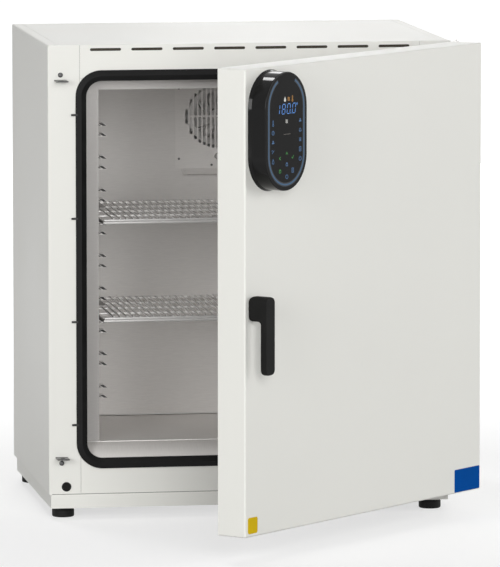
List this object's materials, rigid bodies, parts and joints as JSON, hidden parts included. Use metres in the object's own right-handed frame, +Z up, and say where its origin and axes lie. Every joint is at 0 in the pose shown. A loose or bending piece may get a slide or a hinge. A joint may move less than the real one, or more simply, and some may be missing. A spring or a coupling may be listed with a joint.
{
  "type": "drying oven",
  "caption": "Bench drying oven with a hinged insulated door standing part open, control pod, latch handle, wire shelves and a circulation fan behind a slotted cover.",
  "frame": {"origin": "on the floor, in the middle of the floor area that the whole object covers with its door standing at 45.4 degrees", "axes": "+Z up, +Y from the door side to the rear panel, +X to the right as seen from the front"},
  "size_m": [0.774, 1.1324, 0.8532],
  "materials": {
    "painted_white": "satin",
    "stainless": "satin",
    "bright_wire": "polished",
    "zinc_steel": "satin",
    "insulation_wool": "matte",
    "black_rubber": "matte",
    "foot_rubber": "matte",
    "black_plastic": "matte",
    "pod_plastic": "gloss",
    "pod_glass": "gloss",
    "blue_light": "gloss",
    "circuit_board": "satin",
    "blue_label": "satin",
    "yellow_label": "satin",
    "dark_steel": "satin",
    "fan_metal": "satin",
    "motor_metal": "matte",
    "lock_brass": "satin"
  },
  "bodies": {
    "cabinet": {"base_frame": "painted_white", "left_side_panel": "painted_white", "right_side_panel": "painted_white", "top_panel": "painted_white", "front_frame": "painted_white", "rear_panel": "painted_white", "chamber_liner": "stainless", "front_collar": "stainless", "left_rack_wall": "stainless", "right_rack_wall": "stainless", "rear_baffle": "stainless", "fan_cover": "stainless", "exhaust_spigot": "stainless", "upper_runners": "stainless", "lower_runners": "stainless", "gasket_pins": "bright_wire", "catch_screws": "bright_wire", "hinge_pins": "bright_wire", "temperature_probe": "bright_wire", "upper_catch": "zinc_steel", "lower_catch": "zinc_steel", "hinge_brackets": "zinc_steel", "insulation": "insulation_wool", "gasket": "black_rubber", "feet": "foot_rubber", "blanking_plugs": "black_plastic", "mains_inlet": "black_plastic", "cover_screws": "dark_steel", "heater_coil": "dark_steel", "fan_motor": "motor_metal"},
    "door": {"door_outer_panel": "painted_white", "door_inner_panel": "stainless", "door_insulation": "insulation_wool", "hinge_leaves": "zinc_steel", "pod_housing": "pod_plastic", "pod_glass": "pod_glass", "pod_light_ring": "blue_light", "pod_board": "circuit_board", "handle_rosette": "black_plastic", "lock_case": "zinc_steel", "bolt_guides": "black_plastic", "corner_plate_blue": "blue_label", "edge_marker": "yellow_label"},
    "handle": {"handle_lever": "black_plastic", "lock_spindle": "zinc_steel", "lock_pinion": "lock_brass"},
    "upper_bolt_body": {"upper_bolt": "zinc_steel"},
    "lower_bolt_body": {"lower_bolt": "zinc_steel"},
    "fan": {"fan_impeller": "fan_metal", "fan_shaft": "zinc_steel"},
    "upper_shelf_body": {"upper_shelf": "bright_wire"},
    "lower_shelf_body": {"lower_shelf": "bright_wire"}
  },
  "joints": [
    {"name": "door_hinge", "type": "hinge", "parent": "cabinet", "child": "door", "pos_m": [0.34989, 0.02147, 0.448], "axis": [0, 0, 1], "range_deg": [-45.4, 64.6]},
    {"name": "handle_turn", "type": "hinge", "parent": "door", "child": "handle", "pos_m": [-0.10787, -0.53059, 0.441], "axis": [0.712, -0.7022, 0], "range_deg": [0, 90]},
    {"name": "upper_bolt_slide", "type": "slide", "parent": "door", "child": "upper_bolt_body", "axis": [0, 0, 1], "range_m": [0, 0.0126]},
    {"name": "lower_bolt_slide", "type": "slide", "parent": "door", "child": "lower_bolt_body", "axis": [0, 0, -1], "range_m": [0, 0.0126]},
    {"name": "fan_spin", "type": "hinge", "parent": "cabinet", "child": "fan", "pos_m": [-0.02261, 0.45817, 0.6861], "axis": [0, 1, 0], "continuous": true},
    {"name": "upper_shelf_slide", "type": "slide", "parent": "cabinet", "child": "upper_shelf_body", "axis": [0, -1, 0], "range_m": [0, 0.13]},
    {"name": "lower_shelf_slide", "type": "slide", "parent": "cabinet", "child": "lower_shelf_body", "axis": [0, -1, 0], "range_m": [0, 0.13]}
  ],
  "couplings": [
    {"joint": "upper_bolt_slide", "follows": "handle_turn", "m_per_rad": 0.008},
    {"joint": "lower_bolt_slide", "follows": "handle_turn", "m_per_rad": 0.008}
  ]
}
